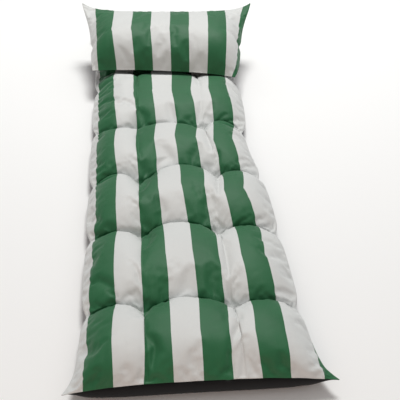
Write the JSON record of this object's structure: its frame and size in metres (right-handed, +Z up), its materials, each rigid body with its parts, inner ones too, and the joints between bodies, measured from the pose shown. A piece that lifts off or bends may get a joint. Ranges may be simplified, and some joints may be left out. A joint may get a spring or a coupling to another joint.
{
  "type": "garden lounger mattress with head pillow",
  "caption": "Tufted, filled lounger mattress with striped canvas on top, a black back panel and a plump head pillow lying on its head end.",
  "frame": {"origin": "on the ground under the middle of the whole", "axes": "+Y along the mattress towards the head end, +Z up, +X to the right of a person who lies on it face up with the feet at -Y"},
  "size_m": [0.686, 1.86, 0.234],
  "materials": {
    "striped_canvas": "woven polyester canvas in broad green and white stripes, slightly satin",
    "black_backing": "plain woven black cloth, matte"
  },
  "bodies": {
    "root": {"mattress": "striped_canvas", "mattress_underside": "black_backing", "pillow": "striped_canvas", "pillow_back": "black_backing"}
  },
  "joints": []
}
